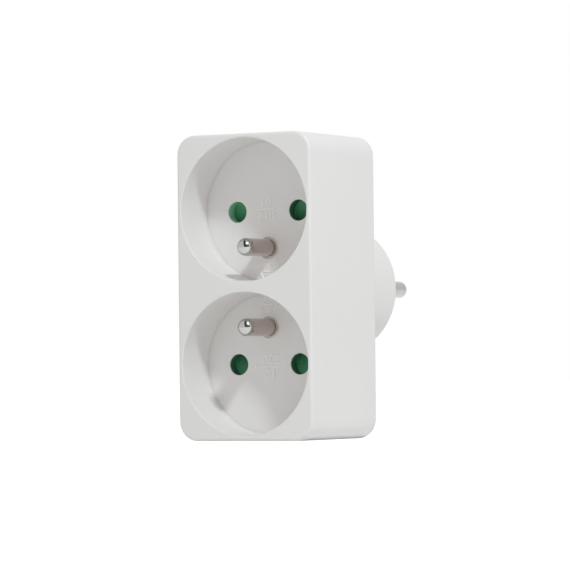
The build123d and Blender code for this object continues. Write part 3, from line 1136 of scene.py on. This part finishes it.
class ADAPTER_OT_well_marks(bpy.types.Operator):
    """Moulds the raised signs and numbers on both wells' floors"""

    bl_idname = "adapter.well_marks"
    bl_label = "Signs in the wells"

    def execute(self, context):
        sizes = context.scene.adapter_marks
        colours = context.scene.adapter_colours
        # Painted light: a lighter copy of the white plastic for the signs, against the shade on their sloped sides
        plastic = moulded_plastic("lightened_mark_plastic", colours.mark, **SATIN)
        above = sizes.divider_offset[1] + sizes.number_gap
        below = sizes.divider_offset[1] - sizes.number_gap - sizes.number_height
        flat = join_meshes(
            "well_marks",
            [
                sign_mesh(sizes, plastic),
                number_mesh(sizes.upper_number, sizes, above),
                number_mesh(sizes.lower_number, sizes, below),
            ],
        )
        flat.materials.append(plastic)
        flat.polygons.foreach_set("material_index", [0] * len(flat.polygons))
        for level in LEVELS:
            mesh = flat.copy()
            mesh.transform(well_plane(level))
            piece = link_object(level + "_well_marks", mesh)
            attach(piece, HOUSING)
        return {"FINISHED"}


def seen_in_picture(tree):
    """1 where a surface is seen, straight or in a mirror, and 0 where it only gives light."""
    path = tree.nodes.new("ShaderNodeLightPath").outputs
    straight = calculate(tree, "MAXIMUM", path["Is Camera Ray"], path["Is Glossy Ray"])
    return calculate(tree, "MAXIMUM", straight, path["Is Transmission Ray"])


def build_floor(settings):
    """A plain pale floor that keeps the object's shadow."""
    half = settings.floor_size / 2
    mesh = bpy.data.meshes.new("floor")
    corners = [(-half, -half, 0), (half, -half, 0), (half, half, 0), (-half, half, 0)]
    mesh.from_pydata(corners, [], [(0, 1, 2, 3)])
    floor = link_object("floor", mesh)
    material = bpy.data.materials.new("pale_floor")
    material.use_nodes = True
    tree = material.node_tree
    tree.nodes.clear()
    shade = add_node(tree, "ShaderNodeBsdfDiffuse", {"Color": settings.floor_colour})
    strength = spread(tree, seen_in_picture(tree), settings.floor_fill, settings.floor_glow)
    glow = add_node(tree, "ShaderNodeEmission", {"Strength": strength})
    both = add_node(tree, "ShaderNodeAddShader", {0: shade.outputs[0], 1: glow.outputs[0]})
    add_node(tree, "ShaderNodeOutputMaterial", {"Surface": both.outputs[0]})
    mesh.materials.append(material)


def build_surroundings(settings):
    """Even light from all sides, seen as white."""
    world = bpy.data.worlds.new("studio")
    world.use_nodes = True
    tree = world.node_tree
    seen = seen_in_picture(tree)
    values = {
        "Color": blend_colours(tree, seen, settings.ambient_colour, WHITE),
        "Strength": spread(tree, seen, settings.ambient, 1.0),
    }
    set_inputs(tree, tree.nodes["Background"], values)
    bpy.context.scene.world = world


def build_lamp(settings):
    """A round lamp to the right, in front and above."""
    light = bpy.data.lights.new("lamp", "AREA")
    light.shape = "DISK"
    light.size = settings.lamp_diameter
    light.energy = settings.lamp_power
    light.color = settings.lamp_colour
    lamp = link_object("lamp", light)
    away = Vector(settings.lamp_direction).normalized()
    lamp.location = box_middle(*CAD_BOX) + away * settings.lamp_distance
    lamp.rotation_euler = away.to_track_quat("Z", "Y").to_euler()


def build_card(settings):
    """A dark card, seen only in shiny surfaces: one arm above the object, one across its front."""
    middle = box_middle(*CAD_BOX)
    ways = [Vector(way).normalized() for way in CARD_ABOVE + CARD_FRONT + CARD_RIGHT]
    corners = [middle + way * settings.card_distance for way in ways]
    mesh = bpy.data.meshes.new("card")
    mesh.from_pydata(corners, [], [(0, 1, 2, 3), (2, 3, 4, 5)])
    card = link_object("card", mesh)
    for ray in ("camera", "diffuse", "transmission", "shadow"):
        setattr(card, "visible_" + ray, False)
    material = bpy.data.materials.new("dark_card")
    material.use_nodes = True
    tree = material.node_tree
    set_inputs(tree, tree.nodes["Principled BSDF"], {"Base Color": settings.card_colour})
    mesh.materials.append(material)


def build_camera(settings):
    """A camera at the photograph's angle."""
    azimuth = settings.camera_azimuth
    elevation = settings.camera_elevation
    back = Vector(
        (
            math.sin(azimuth) * math.cos(elevation),
            -math.cos(azimuth) * math.cos(elevation),
            math.sin(elevation),
        )
    )
    level_right = Vector((0, 0, 1)).cross(back).normalized()
    right = Matrix.Rotation(settings.camera_roll, 3, back) @ level_right
    up = back.cross(right)
    low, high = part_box("front_housing")
    middle = box_middle(low, high)
    sideways, upwards = settings.aim_offset
    aim = Vector((middle.x + sideways, low.y + settings.aim_depth, middle.z + upwards))
    data = bpy.data.cameras.new("camera")
    data.sensor_width = SENSOR_WIDTH
    data.lens = settings.camera_lens
    camera = link_object("camera", data)
    turned = Matrix((right, up, back)).transposed().to_4x4()
    turned.translation = aim + back * settings.camera_distance
    camera.matrix_world = turned
    bpy.context.scene.camera = camera


class ADAPTER_OT_stage(bpy.types.Operator):
    """Sets up the floor, the surroundings, the lamp, the dark card and the camera"""

    bl_idname = "adapter.stage"
    bl_label = "Studio"

    def execute(self, context):
        settings = context.scene.adapter_stage
        build_floor(settings)
        build_surroundings(settings)
        build_lamp(settings)
        build_card(settings)
        build_camera(settings)
        context.scene.view_settings.view_transform = "Standard"
        return {"FINISHED"}


class ADAPTER_PT_panel(bpy.types.Panel):
    """Lists the steps and the values they use"""

    bl_idname = "ADAPTER_PT_panel"
    bl_label = "Socket adapter"
    bl_space_type = "VIEW_3D"
    bl_region_type = "UI"
    bl_category = "Adapter"

    def draw(self, context):
        for operator in OPERATORS:
            self.layout.operator(operator.bl_idname)
        for name in SETTINGS:
            group = getattr(context.scene, name)
            box = self.layout.box()
            for value in group.bl_rna.properties:
                if value.identifier not in {"rna_type", "name"}:
                    box.prop(group, value.identifier)


OPERATORS = (
    ADAPTER_OT_housing,
    ADAPTER_OT_shutters,
    ADAPTER_OT_pins,
    ADAPTER_OT_inner_metal,
    ADAPTER_OT_springs,
    ADAPTER_OT_well_marks,
    ADAPTER_OT_stage,
)
SETTINGS = {
    "adapter_marks": WellMarkSizes,
    "adapter_colours": FinishColours,
    "adapter_stage": StageSettings,
}


def register():
    for name, group in SETTINGS.items():
        bpy.utils.register_class(group)
        setattr(bpy.types.Scene, name, bpy.props.PointerProperty(type=group))
    for operator in OPERATORS:
        bpy.utils.register_class(operator)
    bpy.utils.register_class(ADAPTER_PT_panel)


def unregister():
    bpy.utils.unregister_class(ADAPTER_PT_panel)
    for operator in reversed(OPERATORS):
        bpy.utils.unregister_class(operator)
    for name, group in SETTINGS.items():
        delattr(bpy.types.Scene, name)
        bpy.utils.unregister_class(group)


def main():
    register()
    bpy.ops.adapter.housing()
    bpy.ops.adapter.shutters()
    bpy.ops.adapter.pins()
    bpy.ops.adapter.inner_metal()
    bpy.ops.adapter.springs()
    bpy.ops.adapter.well_marks()
    bpy.ops.adapter.stage()


if __name__ == "__main__":
    main()
